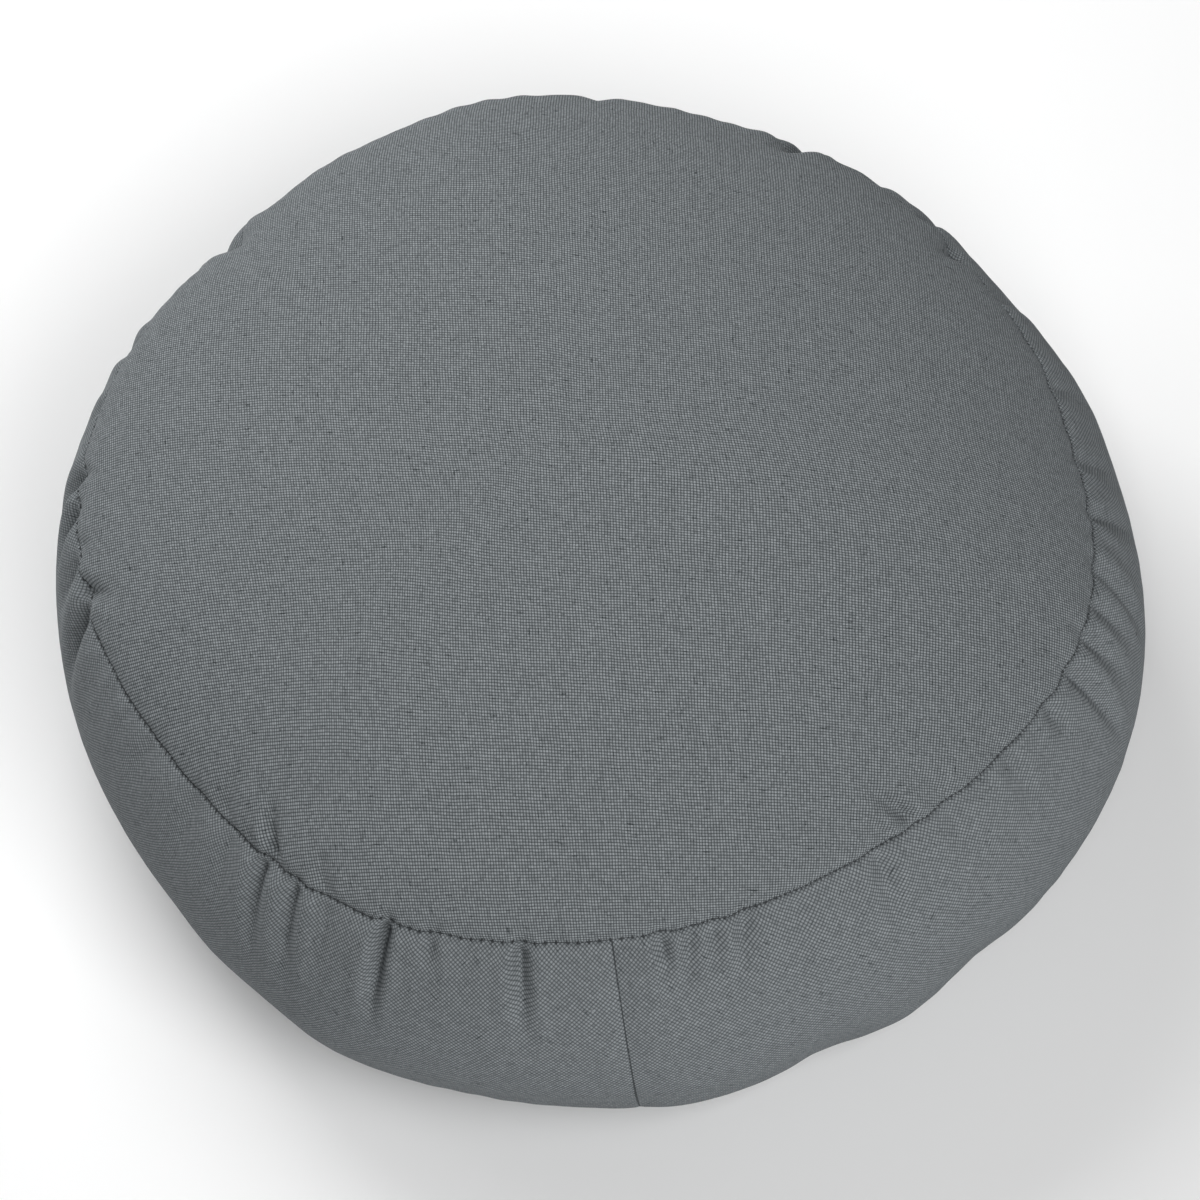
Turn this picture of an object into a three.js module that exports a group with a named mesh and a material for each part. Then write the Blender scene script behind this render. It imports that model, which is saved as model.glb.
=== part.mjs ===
// Round seat cushion: a plump filled cushion with a crowned top panel, one bulging side band that is
// drawn in at its seams, and an underside that is pressed flat where the cushion lies on a surface.
//
// Frame: millimetres, +Z up, origin on the surface under the cushion's middle. The front is -Y. Angles go
// round from the front towards +X. The band's joining seam is just left of the front.

import * as THREE from 'three';

// Driving sizes
const SEAM_RADIUS = 186;        // the round seam between the top panel and the band, on average
const CROWN_HEIGHT = 50;        // the top panel's middle above that seam
const BAND_HEIGHT = 104;        // from the bottom seam up to the top seam, on average
const UNDERSIDE_DEPTH = 14;     // the bottom seam above the surface that the cushion lies on
const UNDERSIDE_TUCK = 8;       // how much further in the bottom seam lies than the top seam
const FLAT_SHARE = 0.62;        // share of the underside's radius that is pressed flat
const SEAM_GROOVE = 1.5;        // how far the sewing draws the cloth in along both round seams
const SEAM_GROOVE_WIDTH = 4;    // and how far from the seam that dies out

// The uneven outline's middle, measured from the middle of the round seam. It is put over the origin.
const OUTLINE_MIDDLE = { x: 3.4, y: -5.7 };

const EDGE_POWER = 3;           // how late the top panel's edge falls off towards the seam
const BULGE_POWER = 0.9;        // 1 is a plain arc, and less is a boxier band
const TUCK_POWER = 5;           // how low down the band starts to roll under
const UNDERSIDE_POWER = 2.2;    // how the underside lifts off the surface towards its seam

// The uneven outline: at each angle in degrees, the top seam's radius and height against their average,
// and how far the band swells past its seams. Then the top panel's fullness: the share of the crown that
// falls off as a wide shallow dome, and how its edge turns over near the seam, where 1 is slack and 0.5 round.
const sections = [
  { angle: 0, radius: 4, rise: 6, bulge: 25, dome: 0.45, turnOver: 0.82 },
  { angle: 30, radius: 7, rise: 7, bulge: 22, dome: 0.39, turnOver: 0.72 },
  { angle: 60, radius: 11.5, rise: 1, bulge: 15, dome: 0.33, turnOver: 0.7 },
  { angle: 90, radius: -1, rise: -12, bulge: 16.9, dome: 0.3, turnOver: 0.74 },
  { angle: 120, radius: -3.3, rise: -6, bulge: 15, dome: 0.38, turnOver: 0.64 },
  { angle: 150, radius: -3, rise: 0, bulge: 15, dome: 0.44, turnOver: 0.53 },
  { angle: 180, radius: 4, rise: 3, bulge: 15, dome: 0.45, turnOver: 0.5 },
  { angle: 210, radius: 0, rise: 0, bulge: 15, dome: 0.45, turnOver: 0.53 },
  { angle: 240, radius: 0, rise: 0, bulge: 15, dome: 0.42, turnOver: 0.57 },
  { angle: 270, radius: -6, rise: 2, bulge: 15, dome: 0.34, turnOver: 0.58 },
  { angle: 300, radius: -12.8, rise: -8, bulge: 20.6, dome: 0.3, turnOver: 0.59 },
  { angle: 330, radius: 0, rise: 3, bulge: 23, dome: 0.36, turnOver: 0.69 },
];

// Folds that start at the top seam, where the cloth is gathered. Angle in degrees at the seam, the rest in
// millimetres: half the fold's width, its depth, and how far it runs out from the seam. Lean is how far it
// moves round for each millimetre that it runs. Side is +1 on the band and -1 on the top panel.
const folds = [
  { side: 1, angle: -4, width: 3, depth: 1.5, length: 160, lean: 0 },          // joining seam of the band
  { side: 1, angle: -14, width: 4, depth: 4.6, length: 40, lean: 0 },
  { side: 1, angle: -28.5, width: 4, depth: 6, length: 43, lean: -0.13 },
  { side: 1, angle: -40.5, width: 5, depth: 3.8, length: 45, lean: 0.1 },
  { side: 1, angle: -45.5, width: 5, depth: 3.4, length: 38, lean: 0.15 },
  { side: 1, angle: 1, width: 4, depth: 2.5, length: 24, lean: 0 },
  { side: 1, angle: 10.5, width: 5, depth: 1.5, length: 26, lean: -0.4 },
  { side: 1, angle: 26, width: 6, depth: 1.5, length: 30, lean: -0.15 },
  { side: 1, angle: 51.5, width: 5, depth: 2, length: 20, lean: 0 },
  { side: 1, angle: 56.5, width: 4, depth: 3, length: 60, lean: 0.16 },
  { side: 1, angle: 61.5, width: 4, depth: 2.5, length: 36, lean: 0.15 },
  { side: 1, angle: 71, width: 5, depth: 3, length: 56, lean: 0 },
  { side: 1, angle: 79, width: 5, depth: 2.5, length: 52, lean: 0.36 },
  { side: 1, angle: -89, width: 6, depth: 5, length: 46, lean: 0.15 },
  { side: 1, angle: -103, width: 4, depth: 3, length: 30, lean: 0.4 },
  { side: 1, angle: -108, width: 5, depth: 4, length: 36, lean: 0.13 },
  { side: -1, angle: -44.5, width: 5, depth: 3, length: 28, lean: -0.75 },
  { side: -1, angle: 29.5, width: 5, depth: 2, length: 24, lean: 0.3 },
  { side: -1, angle: -91.5, width: 5, depth: 3, length: 20, lean: 0.8 },
  { side: -1, angle: 119, width: 6, depth: 3, length: 20, lean: 0 },
  { side: -1, angle: 143.5, width: 6, depth: 4, length: 24, lean: 0 },
  { side: -1, angle: 168, width: 5, depth: 1.4, length: 20, lean: 0 },
  { side: -1, angle: -144.5, width: 6, depth: 4, length: 24, lean: 0 },
];

// Places where the filling pushes the cover out, or leaves it a little slack where out is below 0. Angle in
// degrees, the rest in millimetres: half the width, how far out, and the height where it is most.
const swells = [
  { angle: 1, width: 28, out: 3.2, height: 38 },
  { angle: 15, width: 12, out: -2.2, height: 38 },
  { angle: 24, width: 12, out: 1.6, height: 40 },
  { angle: 34, width: 12, out: -1.9, height: 41 },
  { angle: 100, width: 18, out: 1.5, height: 85 },
  { angle: 116, width: 14, out: -1.6, height: 103 },
  { angle: 134, width: 25, out: 1.6, height: 110 },
  { angle: -178, width: 30, out: 1.6, height: 126 },
  { angle: -159, width: 22, out: 2.2, height: 126 },
  { angle: -142, width: 10, out: -2, height: 125 },
  { angle: -54, width: 16, out: 1.1, height: 48 },
  { angle: -37, width: 16, out: 1.2, height: 48 },
  { angle: -22, width: 18, out: -0.8, height: 41 },
];
const SWELL_REACH = 30;         // how far above and below its height a swell dies out

const LIP_SHARE = 0.3;          // height of the soft lip on each side of a fold, against its depth
const LIP_PLACE = 1.9;          // place of the lip, in half-widths from the fold's bottom
const SEAM_DIE_OUT = 4;         // how far a fold reaches past the seam to its other side
const BAND_START = 0.3;         // share of its depth that a fold of the band has right at the seam
const FULL_DEPTH_FROM = 5;      // and how far from the seam it has all of it

// Steps of the mesh
const EVEN_COLUMNS = 150;       // columns round the cushion, before those that the folds add
const COLUMN_GAP = 1.1;         // least angle between two columns, in degrees
const TOP_STEPS = 13;
const BAND_STEPS = 13;
const UNDERSIDE_STEPS = 6;

// Folds press straight down on the top panel and straight in on the band. In between, the way they press
// turns over from this far inside the top seam to this far past it.
const TURN_FROM = -46;
const TURN_TO = 23;

const FULL_TURN = 360;

const radians = THREE.MathUtils.degToRad;
const topSeamHeight = UNDERSIDE_DEPTH + BAND_HEIGHT;

// A section's value at any angle: a smooth closed curve through the rows of the table
function sectionAt(name, degrees) {
  const step = FULL_TURN / sections.length;
  const place = THREE.MathUtils.euclideanModulo(degrees, FULL_TURN) / step;
  const row = Math.floor(place);
  const t = place - row;
  const value = (offset) => sections[(row + offset + sections.length) % sections.length][name];
  const [before, here, next, after] = [value(-1), value(0), value(1), value(2)];
  const slopeHere = (next - before) / 2;
  const slopeNext = (after - here) / 2;
  return (2 * t ** 3 - 3 * t ** 2 + 1) * here + (t ** 3 - 2 * t ** 2 + t) * slopeHere
    + (3 * t ** 2 - 2 * t ** 3) * next + (t ** 3 - t ** 2) * slopeNext;
}

// Share of the crown that is lost at a share of the way from the middle (0) to the seam (1)
function crownLoss(share, degrees) {
  const dome = sectionAt('dome', degrees);
  const edge = 1 - Math.max(0, 1 - share ** EDGE_POWER) ** sectionAt('turnOver', degrees);
  return dome * share ** 2 + (1 - dome) * edge;
}

// Each zone gives a point of the upright section at an angle: its radius, its height, and its distance
// from the top seam, which is negative on the top panel
function topPoint(share, degrees) {
  const seamRadius = SEAM_RADIUS + sectionAt('radius', degrees);
  const seamHeight = topSeamHeight + sectionAt('rise', degrees);
  const crown = topSeamHeight + CROWN_HEIGHT - seamHeight;
  const height = seamHeight + crown * (1 - crownLoss(share, degrees));
  const fromSeam = -Math.hypot(seamRadius * (1 - share), height - seamHeight);
  return { radius: share * seamRadius, height, fromSeam };
}

function bandPoint(share, degrees) {
  const seamRadius = SEAM_RADIUS + sectionAt('radius', degrees);
  const seamHeight = topSeamHeight + sectionAt('rise', degrees);
  const swell = sectionAt('bulge', degrees) * (4 * share * (1 - share)) ** BULGE_POWER;
  return {
    radius: seamRadius - UNDERSIDE_TUCK * share ** TUCK_POWER + swell,
    height: THREE.MathUtils.lerp(seamHeight, UNDERSIDE_DEPTH, share),
    fromSeam: share * BAND_HEIGHT,
  };
}

function undersidePoint(share, degrees) {
  const seamRadius = SEAM_RADIUS + sectionAt('radius', degrees) - UNDERSIDE_TUCK;
  const lifted = Math.max(0, (share - FLAT_SHARE) / (1 - FLAT_SHARE));
  return {
    radius: share * seamRadius,
    height: UNDERSIDE_DEPTH * lifted ** UNDERSIDE_POWER,
    fromSeam: BAND_HEIGHT + seamRadius * (1 - share),
  };
}

// Rows from the middle of the top to the middle of the underside. They crowd together at the seams.
function sectionRows() {
  const rows = [];
  for (let i = 0; i <= TOP_STEPS; i += 1) {
    const share = Math.sin((i / TOP_STEPS) * Math.PI / 2);
    rows.push((degrees) => topPoint(share, degrees));
  }
  for (let i = 1; i <= BAND_STEPS; i += 1) {
    const share = (1 - Math.cos((i / BAND_STEPS) * Math.PI)) / 2;
    rows.push((degrees) => bandPoint(share, degrees));
  }
  for (let i = 1; i < UNDERSIDE_STEPS; i += 1) {
    const share = 1 - (1 - FLAT_SHARE) * i / (UNDERSIDE_STEPS - 1);
    rows.push((degrees) => undersidePoint(share, degrees));
  }
  rows.push((degrees) => undersidePoint(0, degrees));
  return rows;
}

// Angles of the columns: even steps, with three columns at each fold in place of the even ones there
function columnAngles() {
  const angles = [];
  for (const fold of folds) {
    const half = THREE.MathUtils.radToDeg(fold.width / SEAM_RADIUS);
    for (const offset of [-half, 0, half]) {
      const angle = THREE.MathUtils.euclideanModulo(fold.angle + offset, FULL_TURN);
      if (angles.every((other) => angleBetween(angle, other) > COLUMN_GAP)) angles.push(angle);
    }
  }
  for (let i = 0; i < EVEN_COLUMNS; i += 1) {
    const angle = (i * FULL_TURN) / EVEN_COLUMNS;
    if (angles.every((other) => angleBetween(angle, other) > COLUMN_GAP)) angles.push(angle);
  }
  return angles.sort((a, b) => a - b);
}

function angleBetween(a, b) {
  const turn = Math.abs(a - b) % FULL_TURN;
  return Math.min(turn, FULL_TURN - turn);
}

// How far round the seam circle an angle lies from another, in millimetres and with its sign
function asideFrom(degrees, other) {
  const turn = THREE.MathUtils.euclideanModulo(degrees - other + FULL_TURN / 2, FULL_TURN);
  return radians(turn - FULL_TURN / 2) * SEAM_RADIUS;
}

// How far the filling pushes the cover out at an angle and a height
function swollenOut(degrees, height) {
  let out = 0;
  for (const swell of swells) {
    const aside = asideFrom(degrees, swell.angle) / swell.width;
    const away = (height - swell.height) / SWELL_REACH;
    out += swell.out * Math.exp(-(aside ** 2) - away ** 2);
  }
  return out;
}

// How far the seams and folds press the cloth in at an angle and a distance from the top seam
function pressedIn(degrees, fromSeam) {
  const nearestSeam = Math.min(Math.abs(fromSeam), Math.abs(fromSeam - BAND_HEIGHT));
  let depth = SEAM_GROOVE * Math.exp(-((nearestSeam / SEAM_GROOVE_WIDTH) ** 2));
  for (const fold of folds) {
    const run = fromSeam * fold.side;
    const start = fold.side > 0 ? BAND_START : 1;
    const opened = THREE.MathUtils.lerp(start, 1, THREE.MathUtils.smoothstep(run, 0, FULL_DEPTH_FROM));
    const outward = opened * Math.max(0, 1 - (run / fold.length) ** 2) ** 2;
    const along = run >= 0 ? outward : start * Math.exp(-((run / SEAM_DIE_OUT) ** 2));
    const across = (asideFrom(degrees, fold.angle) - fold.lean * Math.max(0, run)) / fold.width;
    const lips = Math.exp(-((Math.abs(across) - LIP_PLACE) ** 2));
    depth += fold.depth * along * (Math.exp(-(across ** 2)) - LIP_SHARE * lips);
  }
  return depth;
}

// The cushion: a lathed section whose points are moved to the uneven outline and pressed in at the folds
function cushionGeometry() {
  const rows = sectionRows();
  const angles = columnAngles();
  const profile = rows.map((row) => row(0)).map((point) => new THREE.Vector2(point.radius, point.height));
  const geometry = new THREE.LatheGeometry(profile.reverse(), angles.length);
  const position = geometry.getAttribute('position');
  for (let i = 0; i < position.count; i += 1) {
    const column = Math.floor(i / rows.length) % angles.length;
    const degrees = angles[column];
    const point = rows[rows.length - 1 - (i % rows.length)](degrees);
    const liesFlat = point.height === 0;
    const pressed = liesFlat || point.radius === 0 ? 0 : pressedIn(degrees, point.fromSeam);
    const steep = THREE.MathUtils.smoothstep(point.fromSeam, TURN_FROM, TURN_TO);
    const tilt = THREE.MathUtils.lerp(Math.PI / 2, 0, steep);
    const swollen = swollenOut(degrees, point.height) * (point.radius / SEAM_RADIUS);
    const radius = point.radius + swollen - pressed * Math.cos(tilt);
    const height = point.height - pressed * Math.sin(tilt);
    const right = radius * Math.sin(radians(degrees)) - OUTLINE_MIDDLE.x;
    const back = -radius * Math.cos(radians(degrees)) - OUTLINE_MIDDLE.y;
    position.setXYZ(i, right, back, height);
  }
  return geometry;
}

const cloth = new THREE.MeshStandardMaterial({ color: 0x6f7376, roughness: 0.92, metalness: 0 });
cloth.name = 'cover_cloth';

const cushion = new THREE.Mesh(cushionGeometry(), cloth);
cushion.name = 'cushion';

const seatCushion = new THREE.Group();
seatCushion.add(cushion);

export default seatCushion;
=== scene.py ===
"""Round seat cushion: the looks of a plump round cushion in dark grey woven cloth.

Metres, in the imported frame: +Z up, the front with the band's joining seam is -Y. Angles go round from the
front towards +X, as in the part's own source.
"""
import math

import bpy
import numpy as np
from mathutils import Matrix, Vector


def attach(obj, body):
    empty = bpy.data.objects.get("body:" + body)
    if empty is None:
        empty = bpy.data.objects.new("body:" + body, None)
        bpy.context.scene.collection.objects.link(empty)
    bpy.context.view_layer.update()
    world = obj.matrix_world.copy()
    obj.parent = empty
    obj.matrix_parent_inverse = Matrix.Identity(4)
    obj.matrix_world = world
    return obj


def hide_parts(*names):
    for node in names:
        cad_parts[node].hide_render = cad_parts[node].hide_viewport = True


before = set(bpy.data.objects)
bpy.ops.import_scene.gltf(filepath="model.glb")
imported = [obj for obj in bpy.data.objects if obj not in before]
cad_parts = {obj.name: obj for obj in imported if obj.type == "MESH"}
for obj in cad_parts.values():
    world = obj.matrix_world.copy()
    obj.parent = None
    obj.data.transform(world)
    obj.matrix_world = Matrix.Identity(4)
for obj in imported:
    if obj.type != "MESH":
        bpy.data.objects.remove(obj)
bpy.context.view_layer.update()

bl_info = {
    "name": "Round Seat Cushion",
    "version": (1, 0, 0),
    "blender": (4, 5, 0),
    "location": "3D View > Sidebar > Cushion",
    "description": "Makes a plump round seat cushion with a gathered side band",
    "category": "Add Mesh",
}

MM = 0.001

# The uneven outline, in degrees and millimetres: the top seam's radius and height against their average,
# and how far the band swells past its seams. Then the top panel's fullness: the share of the crown that falls
# off as a wide shallow dome, and how its edge turns over near the seam, where 1 is slack and 0.5 is round.
SECTIONS = np.array([
    (0, 4, 6, 25, 0.45, 0.82),
    (30, 7, 7, 22, 0.39, 0.72),
    (60, 11.5, 1, 15, 0.33, 0.7),
    (90, -1, -12, 16.9, 0.3, 0.74),
    (120, -3.3, -6, 15, 0.38, 0.64),
    (150, -3, 0, 15, 0.44, 0.53),
    (180, 4, 3, 15, 0.45, 0.5),
    (210, 0, 0, 15, 0.45, 0.53),
    (240, 0, 0, 15, 0.42, 0.57),
    (270, -6, 2, 15, 0.34, 0.58),
    (300, -12.8, -8, 20.6, 0.3, 0.59),
    (330, 0, 3, 23, 0.36, 0.69),
], dtype=[(name, float) for name in ("angle", "radius", "rise", "bulge", "dome", "turn_over")])

# Folds where the cloth is gathered at the top seam. Side is 1 on the band and -1 on the top panel, angle is
# in degrees at the seam, and the rest in millimetres: half the width, the depth, and how far the fold runs.
# Lean is how far it moves round for each millimetre that it runs, and start is the share of its depth that
# it has right at the seam, where the sewing holds it nearly shut.
FOLDS = np.array([
    (1, -14, 3.2, 4.6, 38, 0, 0.25),
    (1, -24, 2.6, 2.2, 12, 0, 0.25),
    (1, -29.2, 2.8, 6, 42, -0.1, 0.25),
    (1, -36.5, 6, 1.6, 36, 0, 0.25),
    (1, -41.8, 4, 3.8, 44, 0.1, 0.25),
    (1, -47.2, 3.8, 3.8, 48, 0.12, 0.25),
    (1, -53, 5, 1.8, 34, 0.1, 0.25),
    (1, -60, 6, 1.6, 38, 0, 0.25),
    (1, -70, 5, 1.4, 30, 0, 0.25),
    (1, 1, 2.6, 3.2, 18, 0.1, 0.25),
    (1, 4.5, 3, 2.2, 24, -0.35, 0.25),
    (1, 7, 3, 2, 20, -0.3, 0.25),
    (1, 10.5, 3.2, 2.4, 26, -0.45, 0.25),
    (1, 16, 4.5, 1.6, 30, -0.2, 0.25),
    (1, 26, 4, 2.2, 34, -0.17, 0.25),
    (1, 35, 5, 1.4, 30, 0, 0.25),
    (1, 44, 5, 1.5, 26, 0, 0.25),
    (1, 51.5, 3.5, 2.6, 20, 0, 0.25),
    (1, 56.5, 3.6, 3.4, 60, 0.16, 0.25),
    (1, 61.5, 3.6, 3, 36, 0.15, 0.25),
    (1, 66, 4, 2.2, 40, 0.1, 0.25),
    (1, 71, 4.5, 3.2, 56, 0, 0.25),
    (1, 79, 4.5, 2.8, 52, 0.36, 0.25),
    (1, 87, 5, 2, 40, 0.3, 0.25),
    (1, 98, 6, 2, 40, 0.2, 0.25),
    (1, -89, 5, 5, 46, 0.15, 0.25),
    (1, -96, 5, 2.6, 34, 0.2, 0.25),
    (1, -103, 4, 3.8, 30, 0.4, 0.25),
    (1, -108, 5, 4.6, 36, 0.13, 0.25),
    (-1, -45.5, 4.5, 3.6, 28, -0.6, 0.4),
    (-1, -49.5, 3.2, 1.4, 10, -0.4, 0.4),
    (-1, -38, 5, 1.8, 24, -0.3, 0.3),
    (-1, -55, 6, 1.4, 30, -0.3, 0.3),
    (-1, 28, 3.2, 1.6, 14, -0.35, 0.4),
    (-1, 31.3, 3.2, 2.9, 30, -0.35, 0.3),
    (-1, 36, 4.5, 1.2, 24, -0.35, 0.3),
    (-1, -91.5, 5, 3, 20, 0.8, 1),
    (-1, -98, 3.4, 1, 16, 0.6, 0.4),
    (-1, -108, 3.8, 1.3, 18, 0.5, 0.4),
    (-1, 119, 6, 3, 20, 0, 1),
    (-1, 143.5, 6, 4, 24, 0, 1),
    (-1, 168, 5, 1.4, 20, 0, 1),
    (-1, -144.5, 6, 4, 24, 0, 1),
    (1, 112, 5, 2.2, 34, 0.1, 0.25),
    (1, 126, 4.5, 3, 38, -0.1, 0.25),
    (1, 134, 3.6, 1.8, 20, 0, 0.25),
    (1, 143, 4.5, 3.6, 44, 0, 0.25),
    (1, 157, 4.5, 2.2, 30, 0.2, 0.25),
    (1, 169, 4, 3.2, 42, -0.1, 0.25),
    (1, 176, 3.4, 2.4, 24, 0.1, 0.25),
    (1, -174, 5, 2, 34, 0, 0.25),
    (1, -159, 5, 2.8, 40, 0.15, 0.25),
    (1, -151, 4, 1.8, 20, 0, 0.25),
    (1, -144, 4.5, 3.8, 44, 0, 0.25),
    (1, -127, 4.5, 2.4, 34, -0.2, 0.25),
    (1, -118, 3.6, 2.2, 24, 0.1, 0.25),
], dtype=[(name, float) for name in ("side", "angle", "width", "depth", "length", "lean", "start")])

# Places where the filling pushes the cover out, or leaves it a little slack where out is below 0. Angle in
# degrees, the rest in millimetres: half the width, how far out, and the height where it is most.
SWELLS = np.array([
    (1, 28, 3.2, 38),
    (15, 12, -2.2, 38),
    (24, 12, 1.6, 40),
    (34, 12, -1.9, 41),
    (100, 18, 1.5, 85),
    (116, 14, -1.6, 103),
    (134, 25, 1.6, 110),
    (-178, 30, 1.6, 126),
    (-159, 22, 2.2, 126),
    (-142, 10, -2, 125),
    (-54, 16, 1.1, 48),
    (-37, 16, 1.2, 48),
    (-22, 18, -0.8, 41),
], dtype=[(name, float) for name in ("angle", "width", "out", "height")])

JOIN_ANGLE = -4.0           # the band's joining seam, in degrees
EDGE_POWER = 3              # how late the top panel's edge falls off towards the seam
LEAST_SLACK = 0.001         # how slack that edge is at the back seam
FRONT_SLACK = 0.03          # and how much more at the front seam
BULGE_POWER = 0.9           # 1 is a plain arc, and less is a boxier band
TUCK_POWER = 5              # how low down the band starts to roll under
FLAT_SHARE = 0.62           # share of the underside's radius that is pressed flat
UNDERSIDE_POWER = 2.2       # how the underside lifts off the surface towards its seam
LIP_SHARE = 0.3             # height of the soft lip on each side of a fold, against its depth
LIP_PLACE = 1.9             # place of the lip, in half-widths from the fold's bottom
FOLD_OPEN = 4.5             # how many millimetres from the seam a fold has all of its depth
FOLD_PAST = 4               # how many millimetres a fold reaches past the seam
CREASE_WIDTH = 1.5          # half the width of the crease at a fold's bottom, in millimetres
CREASE_SHARE = 0.3          # and its depth against the fold's
SWELL_REACH = 30            # how many millimetres up and down a swell reaches
PRESS_TURN = (-46, 23)      # where a fold turns from down to inwards, in millimetres from the top seam
PRESS_END = 30              # how many millimetres past the bottom seam the last fold dies out
GATHER_DEPTH = 1.2          # depth of the fine gathers by the seams, in millimetres
GATHER_REACH = (8, 18)      # how far they reach over the top panel, and over the rest
STRAY = 0.13                # how far each wave moves the sewing off its line, in millimetres
WEFT_BOW = 0.725            # how much the weft of a panel is bowed, for each metre

# Dents that the sewing makes, each with its depth and half its width in millimetres
SEAM_DIP = (0.5, 4)         # soft dip along both round seams
NEEDLE_PULL = (0.3, 1.8)    # pull at each needle hole
JOIN_GROOVE = (0.8, 0.9)    # groove of the joining seam
JOIN_DIP = (1.1, 5)         # soft dip beside it
JOIN_DIP_ASIDE = 1.5        # how far that dip lies from the joining seam
JOIN_FADING = 0.6           # share of both that fades away down the band
JOIN_FADES = (25, 60)       # between these places, in millimetres from the top seam

# The grid's rows: the first gap by a seam in millimetres, and how much each next gap grows
TOP_ROWS = (0.35, 1.16)     # over the top panel
UPPER_ROWS = (0.35, 1.135)  # down the band from the top seam
LOWER_ROWS = (0.9, 1.25)    # up the band from the bottom seam
UNDER_ROWS = (0.9, 1.55)    # over the underside
UPPER_SHARE = 0.6           # share of the band that the rows from the top seam take
COLUMNS_PER_STITCH = 4      # columns of the grid from one needle hole to the next
STITCH_ASKEW = 0.5          # how far a stitch's ends move aside at most, in columns
STITCH_SAG = 0.45           # how far its middle sinks towards the groove's bottom, as a share
STITCH_TAPER = 0.35         # thickness of its ends against its middle

# How the cloth is drawn. Its tone runs from 0 in the gaps between the threads, which are painted in
# shade, to 1 on a thread's crown.
THREAD_WAVER = 1.2          # how far the threads waver, in threads
WAVER_RUN = 50 / 3          # how many millimetres apart their wavers lie
CROWN_BREADTH = 0.7         # below 1 a thread's crown is broader than a plain wave's
TONE_RUN = 0.28             # how soon a thread's tone changes along it, for each crossing
CROSSING_SHARE = 0.08       # how much of a crossing's tone is its own
SLUB_DARK = -0.42           # tone that a dark slub takes away
FLECK_LIGHT = 0.4           # tone that a light fleck adds
BIAS_TONE = 0.46            # tone that the gaps and crowns of the band draw nearer to
BIAS_CLOSING = 0.2          # and how far they do
SLIT_SHADE_SHARE = 0.7             # how far the cloth's colour moves to the painted shade of a seam's slit
SLIT_RUN = 10 / 7           # how many millimetres apart the notches of the painted slit shade's edges lie
TIGHT_RUN = 25              # and the stretches where a seam is sewn tighter
PLY_RUN = 0.4               # and the plies of the sewing thread


def linear_from_hex(text):
    """The linear colour of an sRGB hex value."""
    values = np.array([int(text[i:i + 2], 16) for i in (1, 3, 5)]) / 255
    low = values / 12.92
    high = ((values + 0.055) / 1.055) ** 2.4
    return tuple(float(v) for v in np.where(values <= 0.04045, low, high))


def length_property(name, description, millimetres):
    """A length that a user may change, in metres."""
    return bpy.props.FloatProperty(
        name=name, description=description, default=millimetres * MM, unit="LENGTH")


def colour_property(name, description, text):
    """A colour that a user may change, from its sRGB hex value."""
    return bpy.props.FloatVectorProperty(
        name=name, description=description, default=linear_from_hex(text), size=3, min=0, max=1,
        subtype="COLOR")


def power_property(name, description, watts):
    """A light's power that a user may change, in watts."""
    return bpy.props.FloatProperty(name=name, description=description, default=watts, min=0, unit="POWER")


class CushionForm(bpy.types.PropertyGroup):
    """Sizes of the stuffed cushion"""
    seam_radius: length_property("Seam radius", "Round seam between top panel and band, on average", 186)
    crown_height: length_property("Crown height", "Top panel's middle above that seam", 50)
    band_height: length_property("Band height", "From the bottom seam up to the top seam", 104)
    underside_depth: length_property("Underside depth", "Bottom seam above the surface it lies on", 14)
    underside_tuck: length_property("Underside tuck", "How much further in the bottom seam lies", 8)
    middle_right: length_property("Middle, to the right", "Outline's middle from the seam's middle", 3.4)
    middle_back: length_property("Middle, to the back", "Outline's middle from the seam's middle", -5.7)
    groove_depth: length_property("Seam groove depth", "How far the sewing draws the cloth in", 0.75)
    groove_width: length_property("Seam groove width", "How far from the seam that dies out", 0.55)


class CushionCloth(bpy.types.PropertyGroup):
    """Weave and colour of the cover's cloth"""
    weft_pitch: length_property("Pitch along the weft", "From one warp thread to the next", 1.06)
    warp_pitch: length_property("Pitch along the warp", "From one weft thread to the next", 1.12)
    weft_angle: bpy.props.FloatProperty(
        name="Weft angle", description="Weft threads on the top panel, against +X",
        default=math.radians(-17.4), subtype="ANGLE")
    warp_angle: bpy.props.FloatProperty(
        name="Warp angle", description="Warp threads on the top panel, against +X",
        default=math.radians(83.3), subtype="ANGLE")
    yarn: colour_property("Yarn colour", "Tops of the threads", "#94999c")
    # Painted shade in the gaps between the threads, where light hardly falls
    gap_shade: colour_property("Shade colour", "Gaps between the threads", "#2f3436")


class CushionSewing(bpy.types.PropertyGroup):
    """Sewing of the seams"""
    stitch_length: length_property("Stitch length", "From one needle hole to the next", 3.8)
    thread_thickness: length_property("Thread thickness", "Sewing thread across", 0.35)
    thread: colour_property("Thread colour", "Sewing thread", "#3a3e41")
    # Painted shade between the plies of the sewing thread
    thread_shade: colour_property("Thread shade", "Between the plies of the sewing thread", "#2c2f31")
    # Painted shade deep inside a seam's slit, where light hardly reaches
    painted_slit_shade: colour_property("Slit colour", "Deep inside a seam", "#1d1f21")


class CushionStage(bpy.types.PropertyGroup):
    """Plain studio round the cushion"""
    floor: colour_property("Floor colour", "Plain pale floor", "#f8f8f8")
    sky_strength: bpy.props.FloatProperty(
        name="Sky", description="Even light from all round", default=0.08, min=0)
    key_power: power_property("Key light", "Near low light from the left, behind", 6.5)
    back_power: power_property("Back light", "Near light from behind", 10.8)
    front_power: power_property("Front light", "Broad light from the front", 50.5)


def smooth_step(value, low, high):
    """0 up to low and 1 from high, with an even turn between: 3t squared less 2t cubed."""
    t = np.clip((value - low) / (high - low), 0, 1)
    return t * t * (3 - 2 * t)


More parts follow.
